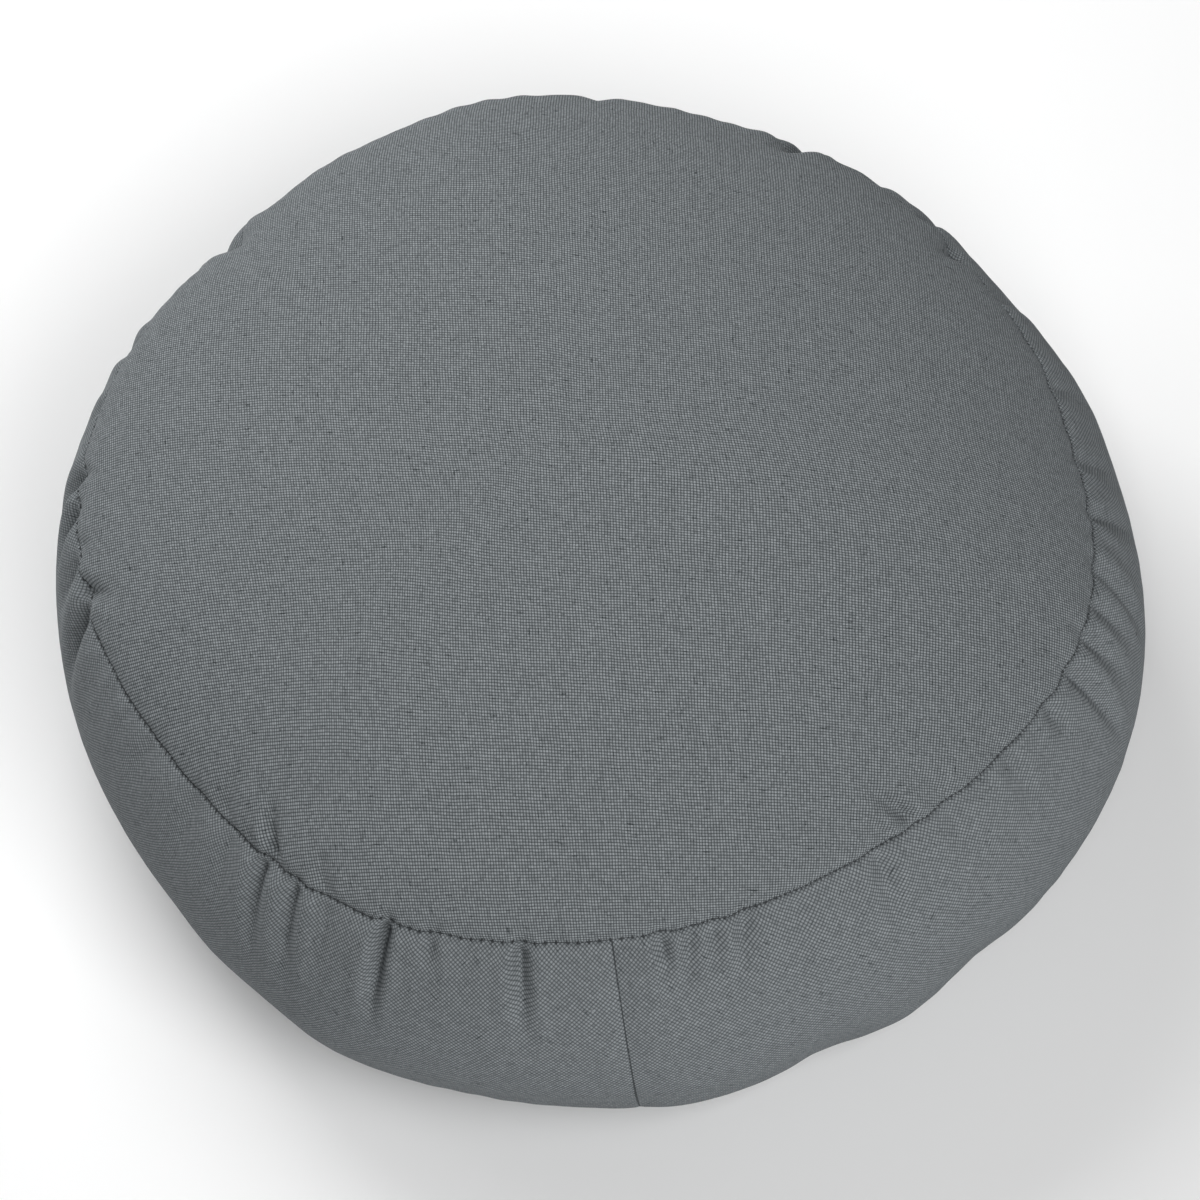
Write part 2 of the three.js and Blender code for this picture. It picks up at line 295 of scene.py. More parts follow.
def section_at(name, degrees):
    """One column of SECTIONS at any angle: a smooth closed cubic curve through its rows."""
    column = SECTIONS[name]
    count = len(column)
    place = (degrees % 360) / 360 * count
    row = np.floor(place).astype(int)
    t = place - row
    before, here, after, beyond = (column[(row + k) % count] for k in (-1, 0, 1, 2))
    slope_here = (after - before) / 2
    slope_after = (beyond - here) / 2
    return ((2 * t**3 - 3 * t**2 + 1) * here + (t**3 - 2 * t**2 + t) * slope_here
            + (3 * t**2 - 2 * t**3) * after + (t**3 - t**2) * slope_after)


def graded(rows, total):
    """Places from 0 to total whose gaps start near the first and grow by the same factor each step.

    A place is the factor to the power of its number, less 1, over the same for the last, times the total.
    """
    first, growth = rows[0] * MM, rows[1]
    count =math.ceil(math.log(1 + total * (growth - 1) / first) / math.log(growth))
    places = (growth ** np.arange(count + 1) - 1) / (growth**count - 1)
    return places * total


def stitch_count(form, sewing):
    """How many stitches a round seam has."""
    return round(2 * math.pi * form.seam_radius / sewing.stitch_length)


def seam_at(form, degrees):
    """Radius and height of the uneven top seam."""
    radius = form.seam_radius + section_at("radius", degrees) * MM
    return radius, form.underside_depth + form.band_height + section_at("rise", degrees) * MM


def top_panel(form, share, degrees):
    """Radius, height and distance from the seam over the top panel.

    The radius is a share s of the uneven seam's. The height falls from the crown partly as a dome, s squared,
    and for the rest as an edge, 1 less (1 - s cubed) to the power turn_over. A little slack is added inside
    the power, more towards the front, so that the edge isn't upright at the seam. The distance is minus the
    straight one.
    """
    seam_radius, seam_height = seam_at(form, degrees)
    crown = form.underside_depth + form.band_height + form.crown_height - seam_height
    dome, power = section_at("dome", degrees), section_at("turn_over", degrees)
    slack = LEAST_SLACK + FRONT_SLACK * (1 + np.cos(np.radians(degrees))) / 2
    full = (1 + slack) ** power - slack**power
    edge = 1 - ((1 - share**EDGE_POWER + slack) ** power - slack**power) / full
    height = seam_height + crown * (1 - dome * share**2 - (1 - dome) * edge)
    return share * seam_radius, height, -np.hypot(seam_radius * (1 - share), height - seam_height)


def side_band(form, share, degrees):
    """Radius, height and distance from the top seam down the band.

    The radius swells past the seams as (4 s (1 - s)) to the power 0.9, and the lower edge tucks in as s to
    the power 5. The height runs evenly from the top seam to the bottom seam.
    """
    seam_radius, seam_height = seam_at(form, degrees)
    swell = section_at("bulge", degrees) * MM * np.clip(4 * share * (1 - share), 0, 1) ** BULGE_POWER
    radius = seam_radius - form.underside_tuck * share**TUCK_POWER + swell
    height = seam_height + (form.underside_depth - seam_height) * share
    return radius, height, share * form.band_height + 0 * degrees


def underside(form, share, degrees):
    """Radius, height and distance from the top seam over the underside: flat, then lifting to its seam.

    From the flat share on, the height rises as the rest of the share to the power 2.2.
    """
    seam_radius = seam_at(form, degrees)[0] - form.underside_tuck
    lifted = np.clip((share - FLAT_SHARE) / (1 - FLAT_SHARE), 0, 1) ** UNDERSIDE_POWER
    from_seam = form.band_height + seam_radius * (1 - share)
    return share * seam_radius, form.underside_depth * lifted + 0 * degrees, from_seam


def aside_from(form, degrees, other):
    """How far round the seam an angle lies from another: the signed angle between them times the radius."""
    return np.radians((degrees - other + 180) % 360 - 180) * form.seam_radius


def swollen_out(form, degrees, height):
    """How far the filling pushes the cover out: a soft bump exp(-a squared - h squared) for each swell."""
    out = np.zeros(np.broadcast(degrees, height).shape)
    for swell in SWELLS:
        aside = aside_from(form, degrees, swell["angle"]) / (swell["width"] * MM)
        away = (height - swell["height"] * MM) / (SWELL_REACH * MM)
        out = out + swell["out"] * MM * np.exp(-aside**2 - away**2)
    return out


def fold_depth(form, degrees, from_seam):
    """How far the folds press the cloth in.

    Each is a valley across, exp(-a squared), with a narrow crease at its bottom and two soft lips beside it.
    Along, it fades as (1 - r squared) squared where r is its run over its length, and dies out within 4 mm
    past the seam. It has its start share of the depth at the seam, and all of it a few millimetres away.
    """
    depth = np.zeros(np.broadcast(degrees, from_seam).shape)
    for fold in FOLDS:
        run = from_seam * fold["side"]
        start = fold["start"]
        opened = start + (1 - start) * smooth_step(run, 0, FOLD_OPEN * MM)
        outward = opened * np.clip(1 - (run / (fold["length"] * MM)) ** 2, 0, 1) ** 2
        along = np.where(run >= 0, outward, start * np.exp(-(run / (FOLD_PAST * MM)) ** 2))
        aside = aside_from(form, degrees, fold["angle"]) - fold["lean"] * np.clip(run, 0, None)
        across = aside / (fold["width"] * MM)
        crease = np.exp(-(aside / (CREASE_WIDTH * MM)) ** 2) * np.clip(along, 0, 1)
        lips = np.exp(-(np.abs(across) - LIP_PLACE) ** 2)
        profile = np.exp(-across**2) + CREASE_SHARE * crease - LIP_SHARE * lips
        depth = depth + fold["depth"] * MM * along * profile
    return depth


def seeded_waves(degrees, seed, fewest, most, count):
    """The sum of some cosine waves round the cushion, each with its own seeded phase and number of turns."""
    random = np.random.default_rng(seed)
    turns = random.integers(fewest, most, count)
    phases = random.uniform(0, 2 * math.pi, count)
    return sum(np.cos(n * np.radians(degrees) + p) for n, p in zip(turns, phases))


def gather_depth(form, degrees, from_seam):
    """Fine uneven gathers at both seams: twelve waves round the seam, which fade away from it.

    They are nothing right at the seam, and reach further down the band than over the top panel.
    """
    waves = seeded_waves(degrees, 7, 40, 110, 12) / 12
    nearest = np.minimum(np.abs(from_seam), np.abs(from_seam - form.band_height))
    reach = np.where(from_seam < 0, GATHER_REACH[0] * MM, GATHER_REACH[1] * MM)
    return GATHER_DEPTH * MM * waves * np.exp(-nearest / reach) * (1 - np.exp(-(nearest / (2 * MM)) ** 2))


def seam_stray(degrees):
    """How far the sewing strays up and down from its line: ten waves round the seam."""
    return STRAY * MM * seeded_waves(degrees, 5, 8, 90, 10)


def dent(size, away):
    """A soft dent at a distance from its middle: its depth times exp(-d squared), d in half-widths."""
    depth, width = size
    return depth * MM * np.exp(-(away / (width * MM)) ** 2)


def groove_depth(form, sewing, degrees, from_seam):
    """How far the sewing draws the cloth in.

    Both round seams have a narrow groove in a wider soft dip, deeper at each needle hole. The joining seam
    has its own groove and dip, which start and end at the round seams and fade down the band.
    """
    sewn = from_seam - seam_stray(degrees)
    nearest = np.minimum(np.abs(sewn), np.abs(sewn - form.band_height))
    hole = (0.5 + 0.5 * np.cos(np.radians(degrees) * stitch_count(form, sewing))) ** 2
    groove = form.groove_depth * np.exp(-(nearest / form.groove_width) ** 2)
    aside = aside_from(form, degrees, JOIN_ANGLE)
    begins = smooth_step(from_seam, 0, 2 * MM)
    ends = 1 - smooth_step(from_seam, form.band_height - 2 * MM, form.band_height)
    fading = 1 - JOIN_FADING * smooth_step(from_seam, JOIN_FADES[0] * MM, JOIN_FADES[1] * MM)
    join = begins * ends * fading * (dent(JOIN_GROOVE, aside) + dent(JOIN_DIP, aside - JOIN_DIP_ASIDE * MM))
    return groove + dent(SEAM_DIP, nearest) + hole * dent(NEEDLE_PULL, nearest) + join


def flat_weave(cloth, right, back):
    """Weave coordinates of a point on the flat panel: how far along the weft and along the warp.

    The point is split into its parts along the two thread directions, and the weft is bowed a little, as
    right times back.
    """
    weft = np.array([math.cos(cloth.weft_angle), math.sin(cloth.weft_angle)])
    warp = np.array([math.cos(cloth.warp_angle), math.sin(cloth.warp_angle)])
    area = weft[0] * warp[1] - weft[1] * warp[0]
    along_weft = (right * warp[1] - back * warp[0]) / area
    along_warp = (weft[0] * back - weft[1] * right) / area
    return np.stack([along_weft, along_warp + WEFT_BOW * right * back], -1)


def surface_normals(points):
    """Outward normals of a grid that runs from the top down, with its columns closed into a ring.

    Each is the cross product of the steps down and round at its point, made one long.
    """
    ring = np.concatenate([points[:, -1:], points, points[:, :1]], axis=1)
    round_it = ring[:, 2:] - ring[:, :-2]
    down_it = np.gradient(points, axis=0)
    normal = np.cross(down_it, round_it)
    return normal / np.maximum(np.linalg.norm(normal, axis=-1, keepdims=True), 1e-12)


def cover_grid(form, sewing):
    """The whole cover as a grid of rows from the top's middle to the underside's, with the sections' outline.

    Its rows lie closest at the seams. A fold presses down on the top panel and inwards on the band, with a
    turn between them. Returns the points, the columns' angles, and how many rows the top panel, the band and
    the underside have.
    """
    columns = COLUMNS_PER_STITCH * stitch_count(form, sewing)
    degrees = np.arange(columns) * 360 / columns
    top_shares = 1 - graded(TOP_ROWS, form.seam_radius)[::-1] / form.seam_radius
    upper = graded(UPPER_ROWS, form.band_height * UPPER_SHARE) / form.band_height
    lower = 1 - graded(LOWER_ROWS, form.band_height * (1 - UPPER_SHARE))[::-1] / form.band_height
    band_shares = np.concatenate([upper, lower[1:]])
    under_shares = 1 - graded(UNDER_ROWS, form.seam_radius) / form.seam_radius
    parts = [
        top_panel(form, top_shares[1:, None], degrees[None]),
        side_band(form, band_shares[1:, None], degrees[None]),
        underside(form, under_shares[1:-1, None], degrees[None]),
    ]
    radius, height, from_seam = (np.concatenate([part[k] for part in parts]) for k in range(3))
    rows = [len(part[0]) for part in parts]
    pressed = fold_depth(form, degrees[None], from_seam)
    pressed = pressed * (1 - smooth_step(from_seam, form.band_height, form.band_height + PRESS_END * MM))
    tilt = math.pi / 2 * (1 - smooth_step(from_seam, PRESS_TURN[0] * MM, PRESS_TURN[1] * MM))
    swollen = swollen_out(form, degrees[None], height) * radius / form.seam_radius
    radius = radius + swollen - pressed * np.cos(tilt)
    height = height - pressed * np.sin(tilt)
    turn = np.radians(degrees)[None]
    points = np.stack([
        radius * np.sin(turn) - form.middle_right,
        -radius * np.cos(turn) - form.middle_back,
        height,
    ], -1)
    fine = gather_depth(form, degrees[None], from_seam) + groove_depth(form, sewing, degrees[None], from_seam)
    points = points - surface_normals(points) * fine[..., None]
    points[..., 2] = np.maximum(points[..., 2], 0)
    return points, degrees, rows


def zone_weave(form, cloth, points, degrees, rows):
    """Weave coordinates of each zone's rows, with the first column repeated at the end.

    A panel's are its arc length from the middle, laid out flat. The band's are its length round the seam and
    down from it, turned by 45 degrees, because it is cut on the bias.
    """
    closed = np.concatenate([points, points[:, :1]], axis=1)
    turn = np.radians(np.append(degrees, 360))[None]
    step = np.linalg.norm(np.diff(closed, axis=0), axis=-1).mean(axis=1)
    first_gap = np.linalg.norm(closed[0, :, :2].mean(axis=0) - closed[0, :, :2], axis=-1).mean()
    down = np.concatenate([[first_gap], first_gap + np.cumsum(step)])[:, None]
    seam, hem = rows[0] - 1, rows[0] + rows[1] - 1
    flat = flat_weave(cloth, down * np.sin(turn), -down * np.cos(turn))
    round_it = turn * form.seam_radius + 0 * down
    below = down - down[seam]
    bias = np.stack([round_it + below, round_it - below], -1) / math.sqrt(2)
    last_gap = np.linalg.norm(closed[-1, :, :2].mean(axis=0) - closed[-1, :, :2], axis=-1).mean()
    left = down[-1] + last_gap - down
    under = flat_weave(cloth, left * np.sin(turn), left * np.cos(turn))
    sewn = np.stack([round_it, below - seam_stray(np.append(degrees, 360))], -1)
    return flat, bias, under, sewn, seam, hem, float(below[hem, 0])


def closed_mesh(name, points, weave_parts):
    """A closed mesh from the grid: a pole above, rings of quads, and a pole below, with two UV maps."""
    flat, bias, under, sewn, seam, hem, band_length = weave_parts
    rows, columns = points.shape[:2]
    top_pole = points[0].mean(axis=0)
    bottom_pole = points[-1].mean(axis=0)
    places = np.concatenate([points.reshape(-1, 3), [top_pole, bottom_pole]])
    row, column = np.meshgrid(np.arange(rows - 1), np.arange(columns), indexing="ij")
    after = (column + 1) % columns
    quads = np.stack([
        row * columns + column,
        (row + 1) * columns + column,
        (row + 1) * columns + after,
        row * columns + after,
    ], -1).reshape(-1, 4)
    ring = np.arange(columns)
    next_ring = (ring + 1) % columns
    last = (rows - 1) * columns
    top_fan = np.stack([0 * ring + rows * columns, ring, next_ring], -1)
    bottom_fan = np.stack([0 * ring + rows * columns + 1, last + next_ring, last + ring], -1)

    def quad_uv(grid, first, end):
        """The four corners' coordinates of the quads between two rows."""
        block = grid[first:end + 1]
        return np.stack([block[:-1, :-1], block[1:, :-1], block[1:, 1:], block[:-1, 1:]], 2).reshape(-1, 2)

    def fan_uv(grid, index, pole, turned):
        """The three corners' coordinates of a fan's triangles."""
        ends = (grid[index, 1:], grid[index, :-1]) if turned else (grid[index, :-1], grid[index, 1:])
        return np.stack([np.broadcast_to(pole, ends[0].shape), *ends], 1).reshape(-1, 2)

    end = rows - 1
    middle = np.zeros(2)
    weave = np.concatenate([
        quad_uv(flat, 0, seam), quad_uv(bias, seam, hem), quad_uv(under, hem, end),
        fan_uv(flat, 0, middle, False), fan_uv(under, end, middle, True)])
    run = np.concatenate([
        quad_uv(sewn, 0, end), fan_uv(sewn, 0, sewn[0, 0], False), fan_uv(sewn, end, sewn[end, 0], True)])
    mesh = bpy.data.meshes.new(name)
    corners = np.concatenate([quads.ravel(), top_fan.ravel(), bottom_fan.ravel()])
    sizes = np.concatenate([np.full(len(quads), 4), np.full(len(top_fan) + len(bottom_fan), 3)])
    mesh.vertices.add(len(places))
    mesh.vertices.foreach_set("co", places.ravel())
    mesh.loops.add(len(corners))
    mesh.loops.foreach_set("vertex_index", corners)
    mesh.polygons.add(len(sizes))
    mesh.polygons.foreach_set("loop_start", np.concatenate([[0], np.cumsum(sizes)[:-1]]))
    mesh.polygons.foreach_set("use_smooth", np.ones(len(sizes), dtype=bool))
    mesh.update(calc_edges=True)
    mesh.uv_layers.new(name="Weave").data.foreach_set("uv", weave.ravel())
    mesh.uv_layers.new(name="Seam").data.foreach_set("uv", run.ravel())
    mesh.validate()
    mesh["band_length"] = band_length
    return mesh


def stand(name, mesh, material):
    """Puts a finished mesh in the scene as a piece that rides on the cushion's body."""
    piece = bpy.data.objects.new(name, mesh)
    bpy.context.scene.collection.objects.link(piece)
    mesh.materials.append(material)
    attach(piece, "root")
    return piece


def add_node(tree, kind, inputs=None, **settings):
    """Adds a node with its settings, and gives each named input a value or a link from another socket."""
    node = tree.nodes.new(kind)
    for key, value in settings.items():
        setattr(node, key, value)
    for key, value in (inputs or {}).items():
        if isinstance(value, bpy.types.NodeSocket):
            tree.links.new(value, node.inputs[key])
        else:
            node.inputs[key].default_value = value
    return node


def new_material(name):
    """An empty node material with its output, and its tree."""
    material = bpy.data.materials.new(name)
    material.use_nodes = True
    material.node_tree.nodes.clear()
    return material, material.node_tree


def woven_cotton(form, cloth, sewing, band_length):
    """Cotton and linen plain weave, spun with slubs and piece-dyed dark grey.

    To the eye it is matt, with rows of small light thread crowns and gaps painted in shade, uneven threads,
    and dark specks and short dashes where a slub lies. Shade is painted into its colour where the sewing
    closes the cloth into a slit.
    """
    material, tree = new_material("slubbed_cotton_linen_plain_weave")
    weave = add_node(tree, "ShaderNodeUVMap", uv_map="Weave").outputs["UV"]
    waver = add_node(
        tree, "ShaderNodeTexNoise", {"Vector": weave, "Scale": 1 / (WAVER_RUN * MM), "Detail": 4.0})
    shift = add_node(
        tree, "ShaderNodeVectorMath", {0: waver.outputs["Color"], 1: (0.5, 0.5, 0.5)}, operation="SUBTRACT")
    push = add_node(
        tree, "ShaderNodeVectorMath", {0: shift.outputs[0], "Scale": THREAD_WAVER}, operation="SCALE")
    scale = (1 / cloth.weft_pitch, 1 / cloth.warp_pitch, 1)
    threads = add_node(tree, "ShaderNodeMapping", {"Vector": weave, "Scale": scale})
    place = add_node(
        tree, "ShaderNodeVectorMath", {0: threads.outputs[0], 1: push.outputs[0]}, operation="ADD")
    split = add_node(tree, "ShaderNodeSeparateXYZ", {0: place.outputs[0]})
    waves = []
    for axis in (0, 1):
        turn = add_node(tree, "ShaderNodeMath", {0: split.outputs[axis], 1: math.pi}, operation="MULTIPLY")
        waves.append(add_node(tree, "ShaderNodeMath", {0: turn.outputs[0]}, operation="SINE").outputs[0])
    both = add_node(tree, "ShaderNodeMath", {0: waves[0], 1: waves[1]}, operation="MULTIPLY")
    warp_up = add_node(tree, "ShaderNodeMath", {0: both.outputs[0], 1: 0.0}, operation="GREATER_THAN")
    height = add_node(tree, "ShaderNodeMath", {0: both.outputs[0]}, operation="ABSOLUTE")
    crown = add_node(tree, "ShaderNodeMath", {0: height.outputs[0], 1: CROWN_BREADTH}, operation="POWER")

    # Each thread's own tone, which changes along it, and a little for each crossing. The tones of threads
    # side by side, and of warp and weft, are read far apart, so that they don't follow each other.
    tones = []
    for axis, (along, across) in enumerate(((1, 0), (0, 1))):
        own = add_node(tree, "ShaderNodeMath", {0: split.outputs[across]}, operation="FLOOR")
        apart = add_node(tree, "ShaderNodeMath", {0: own.outputs[0], 1: 3.7}, operation="MULTIPLY")
        slow = add_node(tree, "ShaderNodeMath", {0: split.outputs[along], 1: TONE_RUN}, operation="MULTIPLY")
        where = add_node(
            tree, "ShaderNodeCombineXYZ", {0: apart.outputs[0], 1: slow.outputs[0], 2: 11.0 * axis})
        noise = add_node(
            tree, "ShaderNodeTexNoise", {"Vector": where.outputs[0], "Scale": 1.0, "Detail": 2.0})
        tones.append(noise.outputs["Fac"])
    yarn_tone = add_node(tree, "ShaderNodeMix", {
        "Factor": warp_up.outputs[0], "A": tones[1], "B": tones[0]}, data_type="FLOAT")
    crossing = add_node(tree, "ShaderNodeVectorMath", {0: place.outputs[0]}, operation="FLOOR")
    chance = add_node(
        tree, "ShaderNodeTexWhiteNoise", {"Vector": crossing.outputs[0]}, noise_dimensions="3D")
    tone = add_node(tree, "ShaderNodeMix", {
        "Factor": CROSSING_SHARE, "A": yarn_tone.outputs[0], "B": chance.outputs["Value"]}, data_type="FLOAT")

    # Slubs: dark dashes along either thread, and a few light flecks. Each has the noise's stretch along the
    # two threads, and the noise values where it starts to show and shows in full.
    slubs = []
    for along, across, low, high in ((0.2, 0.85, 0.68, 0.82), (0.85, 0.2, 0.7, 0.82), (0.5, 0.5, 0.77, 0.81)):
        drawn = add_node(tree, "ShaderNodeMapping", {
            "Vector": place.outputs[0], "Scale": (along, across, 1), "Location": (7 * low, 0, 0)})
        noise = add_node(
            tree, "ShaderNodeTexNoise", {"Vector": drawn.outputs[0], "Scale": 1.0, "Detail": 1.0})
        slubs.append(add_node(tree, "ShaderNodeMapRange", {
            "Value": noise.outputs["Fac"], "From Min": low, "From Max": high}).outputs[0])

    crown_light = add_node(tree, "ShaderNodeMapRange", {
        "Value": tone.outputs[0], "From Min": 0.3, "From Max": 0.7, "To Min": 0.65, "To Max": 1.2},
        clamp=False)
    # Each thread's crown, lighter or darker by its own tone, against the painted shade of the gaps
    crown_tone_over_gap_shade = add_node(
        tree, "ShaderNodeMath", {0: crown.outputs[0], 1: crown_light.outputs[0]}, operation="MULTIPLY")
    dark_slub = add_node(tree, "ShaderNodeMath", {0: slubs[0], 1: slubs[1]}, operation="MAXIMUM")
    less = add_node(tree, "ShaderNodeMath", {0: dark_slub.outputs[0], 1: SLUB_DARK}, operation="MULTIPLY")
    more = add_node(
        tree, "ShaderNodeMath", {0: slubs[2], 1: FLECK_LIGHT, 2: less.outputs[0]}, operation="MULTIPLY_ADD")
    level = add_node(
        tree, "ShaderNodeMath", {0: crown_tone_over_gap_shade.outputs[0], 1: more.outputs[0]}, operation="ADD", use_clamp=True)

    # The band is cut on the bias and pulled round, which closes its gaps a little, so less shade is painted
    # in them
    sewn = add_node(tree, "ShaderNodeUVMap", uv_map="Seam").outputs["UV"]
    run = add_node(tree, "ShaderNodeSeparateXYZ", {0: sewn})
    below = add_node(tree, "ShaderNodeMath", {0: run.outputs[1], 1: 0.0}, operation="GREATER_THAN")
    above = add_node(tree, "ShaderNodeMath", {0: run.outputs[1], 1: band_length}, operation="LESS_THAN")
    on_band = add_node(
        tree, "ShaderNodeMath", {0: below.outputs[0], 1: above.outputs[0]}, operation="MULTIPLY")
    closing = add_node(tree, "ShaderNodeMath", {0: on_band.outputs[0], 1: BIAS_CLOSING}, operation="MULTIPLY")
    closed = add_node(tree, "ShaderNodeMix", {
        "Factor": closing.outputs[0], "A": level.outputs[0], "B": BIAS_TONE}, data_type="FLOAT")
    # The yarn's colour on the crowns, and painted shade in the gaps between them
    colour = add_node(tree, "ShaderNodeMix", {
        "Factor": closed.outputs[0], "A": (*cloth.gap_shade, 1), "B": (*cloth.yarn, 1)}, data_type="RGBA")

    # Painted shade for the seams' slits, which light hardly reaches: uneven in width, wider at the needle
    # holes
    ragged = add_node(
        tree, "ShaderNodeTexNoise", {"Vector": sewn, "Scale": 1 / (SLIT_RUN * MM), "Detail": 2.0})
    phase = 2 * math.pi / sewing.stitch_length
    beat = add_node(tree, "ShaderNodeMath", {0: run.outputs[0], 1: phase}, operation="MULTIPLY")
    needle = add_node(tree, "ShaderNodeMath", {0: beat.outputs[0]}, operation="COSINE")
    wider = add_node(tree, "ShaderNodeMapRange", {
        "Value": needle.outputs[0], "From Min": 0.3, "From Max": 1.0, "To Min": -0.15, "To Max": 0.75})
    even = add_node(
        tree, "ShaderNodeMath", {0: ragged.outputs["Fac"], 1: 0.9, 2: wider.outputs[0]},
        operation="MULTIPLY_ADD")
    stretches = add_node(
        tree, "ShaderNodeTexNoise", {"Vector": sewn, "Scale": 1 / (TIGHT_RUN * MM), "Detail": 2.0})
    tighter = add_node(tree, "ShaderNodeMapRange", {
        "Value": stretches.outputs["Fac"], "From Min": 0.35, "From Max": 0.65, "To Min": 0.6, "To Max": 1.35})
    width = add_node(
        tree, "ShaderNodeMath", {0: even.outputs[0], 1: tighter.outputs[0]}, operation="MULTIPLY")

    # Each seam's direction in the map, its place there, and half the width of its slit's painted shade
    join_at = math.radians(JOIN_ANGLE % 360) * form.seam_radius
    seam_shades = []
    for axis, centre, reach in ((1, 0.0, 0.75 * MM), (1, band_length, 0.75 * MM), (0, join_at, 0.4 * MM)):
        off = add_node(tree, "ShaderNodeMath", {0: run.outputs[axis], 1: centre}, operation="SUBTRACT")
        size = add_node(tree, "ShaderNodeMath", {0: off.outputs[0]}, operation="ABSOLUTE")
        edge = add_node(tree, "ShaderNodeMath", {0: width.outputs[0], 1: reach}, operation="MULTIPLY")
        ratio = add_node(tree, "ShaderNodeMath", {0: size.outputs[0], 1: edge.outputs[0]}, operation="DIVIDE")
        seam_shade = add_node(tree, "ShaderNodeMapRange", {
            "Value": ratio.outputs[0], "From Min": 0.6, "From Max": 1.2, "To Min": 1.0, "To Max": 0.0})
        seam_shades.append(seam_shade.outputs[0])
    join = add_node(tree, "ShaderNodeMath", {0: seam_shades[2], 1: on_band.outputs[0]}, operation="MULTIPLY")
    rounds = add_node(tree, "ShaderNodeMath", {0: seam_shades[0], 1: seam_shades[1]}, operation="MAXIMUM")
    painted_slit_shade = add_node(tree, "ShaderNodeMath", {0: rounds.outputs[0], 1: join.outputs[0]}, operation="MAXIMUM")
    # The cloth's colour is darkened there towards the painted shade of the slit
    slit_shade_amount = add_node(tree, "ShaderNodeMath", {0: painted_slit_shade.outputs[0], 1: SLIT_SHADE_SHARE}, operation="MULTIPLY")
    colour_with_slit_shade = add_node(tree, "ShaderNodeMix", {
        "Factor": slit_shade_amount.outputs[0], "A": colour.outputs[2], "B": (*sewing.painted_slit_shade, 1)}, data_type="RGBA")

    # Each crown stands up a little, and a lighter thread a little more
    bump_height = add_node(
        tree, "ShaderNodeMath", {0: tone.outputs[0], 1: 0.6, 2: crown.outputs[0]}, operation="MULTIPLY_ADD")
    bump = add_node(tree, "ShaderNodeBump", {
        "Height": bump_height.outputs[0], "Strength": 0.6, "Distance": 0.15 * MM})
    shader = add_node(tree, "ShaderNodeBsdfPrincipled", {
        "Base Color": colour_with_slit_shade.outputs[2], "Roughness": 0.95, "Specular IOR Level": 0.15,
        "Normal": bump.outputs[0]})
    add_node(tree, "ShaderNodeOutputMaterial", {"Surface": shader.outputs[0]})
    return material


def polyester_thread(sewing):
    """Spun polyester sewing thread, dyed to match: to the eye a soft twist with shade painted between its
    plies, a little glossier than cloth.
    """
    material, tree = new_material("spun_polyester_thread")
    place = add_node(tree, "ShaderNodeTexCoord").outputs["Object"]
    twist = add_node(
        tree, "ShaderNodeTexNoise", {"Vector": place, "Scale": 1 / (PLY_RUN * MM), "Detail": 2.0})
    # Painted shade between the plies, mixed in by the noise
    colour = add_node(tree, "ShaderNodeMix", {
        "Factor": twist.outputs["Fac"], "A": (*sewing.thread_shade, 1), "B": (*sewing.thread, 1)},
        data_type="RGBA")
    bump = add_node(tree, "ShaderNodeBump", {
        "Height": twist.outputs["Fac"], "Strength": 0.5, "Distance": 0.05 * MM})
    shader = add_node(tree, "ShaderNodeBsdfPrincipled", {
        "Base Color": colour.outputs[2], "Roughness": 0.7, "Normal": bump.outputs[0]})
    add_node(tree, "ShaderNodeOutputMaterial", {"Surface": shader.outputs[0]})
    return material


def stitch_tubes(paths, thickness, sides=5):
    """Short closed tubes along many paths at once: a small ring at each path point, square to the path.

    paths is stitches by points by 3. Returns the vertices and the faces.
    """
    count, length = paths.shape[:2]
    along = np.gradient(paths, axis=1)
    along /= np.linalg.norm(along, axis=-1, keepdims=True)
    aside = np.cross(along, [0.0, 0.0, 1.0])
    aside /= np.maximum(np.linalg.norm(aside, axis=-1, keepdims=True), 1e-9)
    lift = np.cross(aside, along)
    turn = np.arange(sides) * 2 * math.pi / sides
    taper = np.array([STITCH_TAPER, *np.ones(length - 2), STITCH_TAPER])[None, :, None, None]
    ring = np.cos(turn)[:, None] * aside[:, :, None] + np.sin(turn)[:, None] * lift[:, :, None]
    places = paths[:, :, None] + ring * taper * thickness / 2
    own, step, side = np.meshgrid(np.arange(count), np.arange(length - 1), np.arange(sides), indexing="ij")
    here = (own * length + step) * sides
    after = (side + 1) % sides
    corners = [here + side, here + sides + side, here + sides + after, here + after]
    quads = np.stack(corners, -1).reshape(-1, 4)
    first = np.arange(count)[:, None] * length * sides
    start_caps = first + np.arange(sides)[None]
    end_caps = first + (length - 1) * sides + np.arange(sides)[None, ::-1]
    return places.reshape(-1, 3), [*quads.tolist(), *start_caps.tolist(), *end_caps.tolist()]


class CUSHION_OT_cover(bpy.types.Operator):
    """Make the stuffed cover: the top panel, the gathered side band and the underside, sewn into one"""
    bl_idname = "cushion.cover"
    bl_label = "Make the cover"

    def execute(self, context):
        scene = context.scene
        form, cloth, sewing = scene.cushion_form, scene.cushion_cloth, scene.cushion_sewing
        points, degrees, rows = cover_grid(form, sewing)
        parts = zone_weave(form, cloth, points, degrees, rows)
        mesh = closed_mesh("cushion_cover", points, parts)
        piece = stand("cushion_cover", mesh, woven_cotton(form, cloth, sewing, mesh["band_length"]))
        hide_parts("cushion")
        return {"FINISHED"}


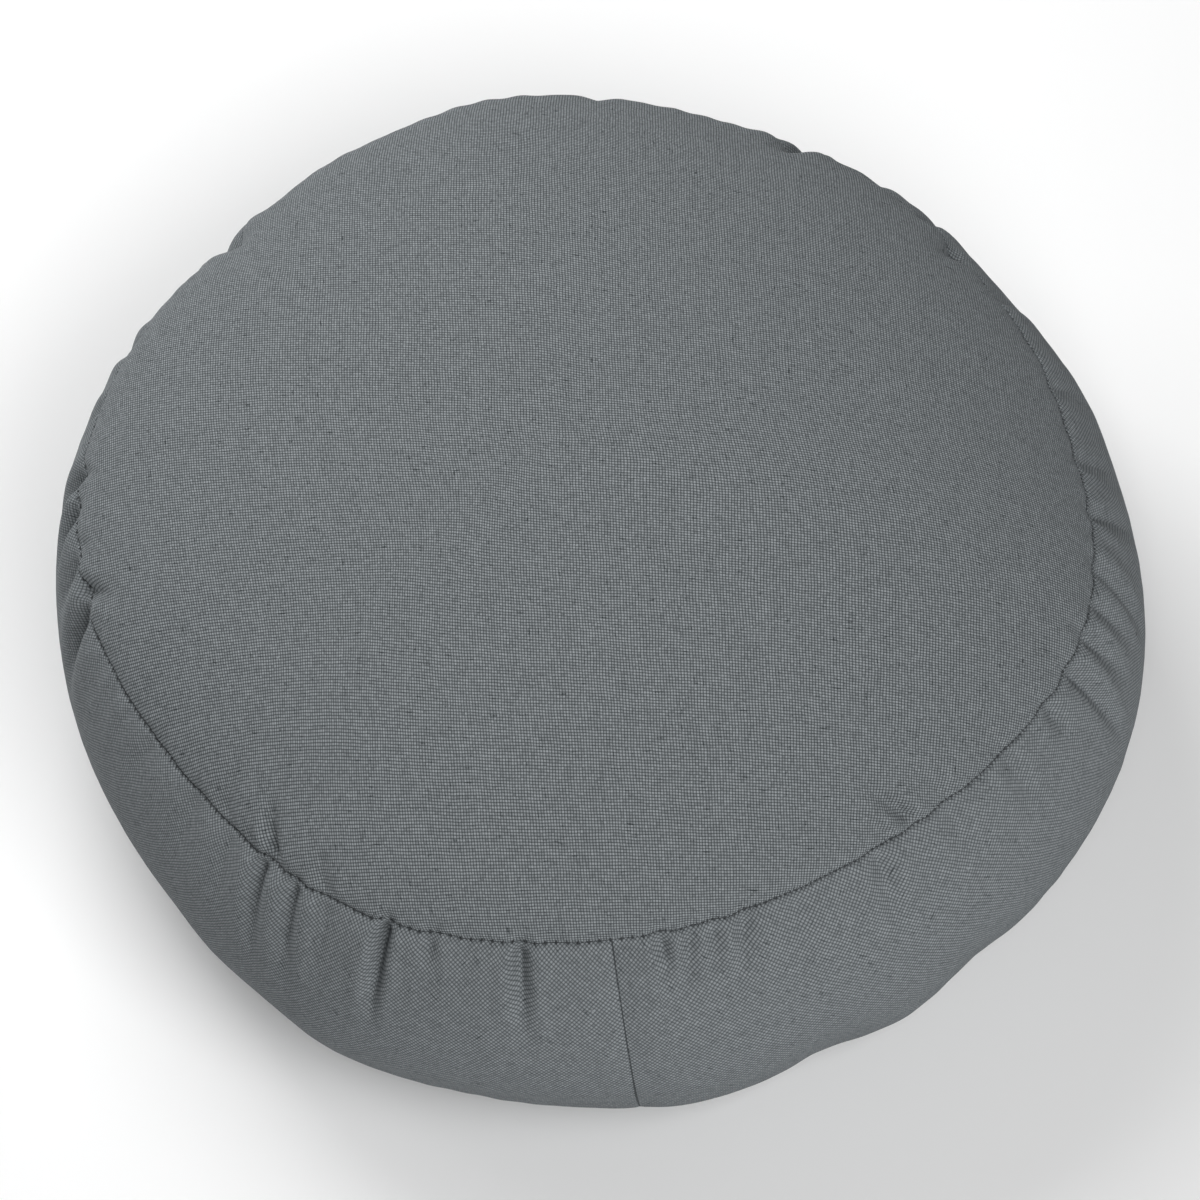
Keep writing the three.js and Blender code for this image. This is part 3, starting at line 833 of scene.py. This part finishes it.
class CUSHION_OT_stitches(bpy.types.Operator):
    """Make the sewing thread that shows in both round seams"""
    bl_idname = "cushion.stitches"
    bl_label = "Make the stitches"

    def execute(self, context):
        form, sewing = context.scene.cushion_form, context.scene.cushion_sewing
        points, degrees, rows = cover_grid(form, sewing)
        random = np.random.default_rng(11)
        groups = []

        # Each stitch spans a seam's groove half way between two needle holes. It lies a little askew, and
        # sags into the groove by its sag times 4t (1 - t), with t from 0 at its start to 1 at its end.
        for seam in (rows[0] - 1, rows[0] + rows[1] - 1):
            above, below = points[seam - 2], points[seam + 2]
            bottom = points[seam]
            middle = np.arange(COLUMNS_PER_STITCH // 2, len(degrees), COLUMNS_PER_STITCH)
            jitter = random.uniform(-1, 1, (len(middle), 1))
            tangent = np.roll(bottom, -1, axis=0)[middle] - bottom[middle]
            start = above[middle] + tangent * jitter * STITCH_ASKEW
            end = below[middle] - tangent * jitter * STITCH_ASKEW
            sag = (bottom[middle] - (start + end) / 2) * STITCH_SAG
            t = np.linspace(0, 1, 5)[None, :, None]
            groups.append(start[:, None] * (1 - t) + end[:, None] * t + sag[:, None] * 4 * t * (1 - t))
        places, faces = stitch_tubes(np.concatenate(groups), sewing.thread_thickness)
        mesh = bpy.data.meshes.new("seam_stitches")
        mesh.from_pydata(places.tolist(), [], faces)
        mesh.polygons.foreach_set("use_smooth", np.ones(len(faces), dtype=bool))
        mesh.validate()
        stand("seam_stitches", mesh, polyester_thread(sewing))
        return {"FINISHED"}


class CUSHION_OT_stage(bpy.types.Operator):
    """Make the plain floor, the soft studio light and the camera"""
    bl_idname = "cushion.stage"
    bl_label = "Make the stage"

    def execute(self, context):
        scene = context.scene
        form, stage = scene.cushion_form, scene.cushion_stage
        reach = 6.0
        corners = [(-reach, -reach, 0), (reach, -reach, 0), (reach, reach, 0), (-reach, reach, 0)]
        floor_mesh = bpy.data.meshes.new("floor")
        floor_mesh.from_pydata(corners, [], [(0, 1, 2, 3)])

        # Matt white paint, rolled on: to the eye an even pale surface without gloss
        material, tree = new_material("matt_white_paint")
        shader = add_node(tree, "ShaderNodeBsdfPrincipled", {
            "Base Color": (*stage.floor, 1), "Roughness": 0.9, "Specular IOR Level": 0.1})
        add_node(tree, "ShaderNodeOutputMaterial", {"Surface": shader.outputs[0]})
        floor_mesh.materials.append(material)
        floor = bpy.data.objects.new("floor", floor_mesh)
        scene.collection.objects.link(floor)

        world = bpy.data.worlds.new("studio")
        world.use_nodes = True
        world.node_tree.nodes.clear()
        sky = add_node(world.node_tree, "ShaderNodeBackground", {
            "Color": (1, 1, 1, 1), "Strength": stage.sky_strength})
        add_node(world.node_tree, "ShaderNodeOutputWorld", {"Surface": sky.outputs[0]})
        scene.world = world
        scene.view_settings.view_transform = "Standard"

        target = Vector((-form.middle_right, -form.middle_back, form.underside_depth + form.band_height))
        # Each light's angle round from the front, its angle above the floor, distance, width and power.
        # They are out of the camera's sight, so that a low view shows the plain floor alone.
        lights = {
            "key_light": (225, 25, 1.3, 0.9, stage.key_power),
            "back_light": (200, 45, 1.3, 0.9, stage.back_power),
            "front_light": (20, 40, 2.4, 1.6, stage.front_power),
        }
        for name, (azimuth, height, away, width, power) in lights.items():
            light = bpy.data.lights.new(name, "AREA")
            light.shape = "SQUARE"
            light.size = width
            light.energy = power
            lamp = bpy.data.objects.new(name, light)
            turn, lift = math.radians(azimuth), math.radians(height)
            flat = math.cos(lift)
            towards = Vector((flat * math.sin(turn), -flat * math.cos(turn), math.sin(lift)))
            lamp.location = target + away * towards
            lamp.rotation_euler = (-towards).to_track_quat("-Z", "Y").to_euler()
            lamp.visible_camera = False
            scene.collection.objects.link(lamp)

        # The camera looks down at 55 degrees from the front, turned 10.56 degrees about its own axis. It
        # stands 3.3 m away, takes in 438 mm at that distance, and is moved aside to place the cushion.
        elevation, roll, distance = math.radians(55), math.radians(10.56), 3.3
        frame_width, moved_right, moved_down = 0.438, 0.01066, 0.0318
        level = Vector((1, 0, 0))
        rise = Vector((0, math.sin(elevation), math.cos(elevation)))
        back = Vector((0, -math.cos(elevation), math.sin(elevation)))
        right = math.cos(roll) * level - math.sin(roll) * rise
        up = math.sin(roll) * level + math.cos(roll) * rise
        lens = bpy.data.cameras.new("camera")
        lens.sensor_width = 36
        lens.lens = lens.sensor_width * distance / frame_width
        lens.clip_end = 20
        camera = bpy.data.objects.new("camera", lens)
        place = target + right * moved_right - up * moved_down + back * distance
        camera.matrix_world = Matrix.Translation(place) @ Matrix((right, up, back)).transposed().to_4x4()
        scene.collection.objects.link(camera)
        scene.camera = camera
        return {"FINISHED"}


class CUSHION_PT_panel(bpy.types.Panel):
    """Lists the cushion's sizes, colours and pieces"""
    bl_label = "Round Seat Cushion"
    bl_idname = "CUSHION_PT_panel"
    bl_space_type = "VIEW_3D"
    bl_region_type = "UI"
    bl_category = "Cushion"

    def draw(self, context):
        for name, group in GROUPS:
            settings = getattr(context.scene, name)
            box = self.layout.box()
            for field in group.__annotations__:
                box.prop(settings, field)
        for operator in OPERATORS:
            self.layout.operator(operator.bl_idname)


GROUPS = (
    ("cushion_form", CushionForm),
    ("cushion_cloth", CushionCloth),
    ("cushion_sewing", CushionSewing),
    ("cushion_stage", CushionStage),
)
OPERATORS = (CUSHION_OT_cover, CUSHION_OT_stitches, CUSHION_OT_stage)


def register():
    for name, group in GROUPS:
        bpy.utils.register_class(group)
        setattr(bpy.types.Scene, name, bpy.props.PointerProperty(type=group))
    for operator in OPERATORS:
        bpy.utils.register_class(operator)
    bpy.utils.register_class(CUSHION_PT_panel)


def unregister():
    bpy.utils.unregister_class(CUSHION_PT_panel)
    for operator in reversed(OPERATORS):
        bpy.utils.unregister_class(operator)
    for name, group in reversed(GROUPS):
        delattr(bpy.types.Scene, name)
        bpy.utils.unregister_class(group)


def main():
    """Makes every piece in order."""
    register()
    bpy.ops.cushion.cover()
    bpy.ops.cushion.stitches()
    bpy.ops.cushion.stage()


if __name__ == "__main__":
    main()
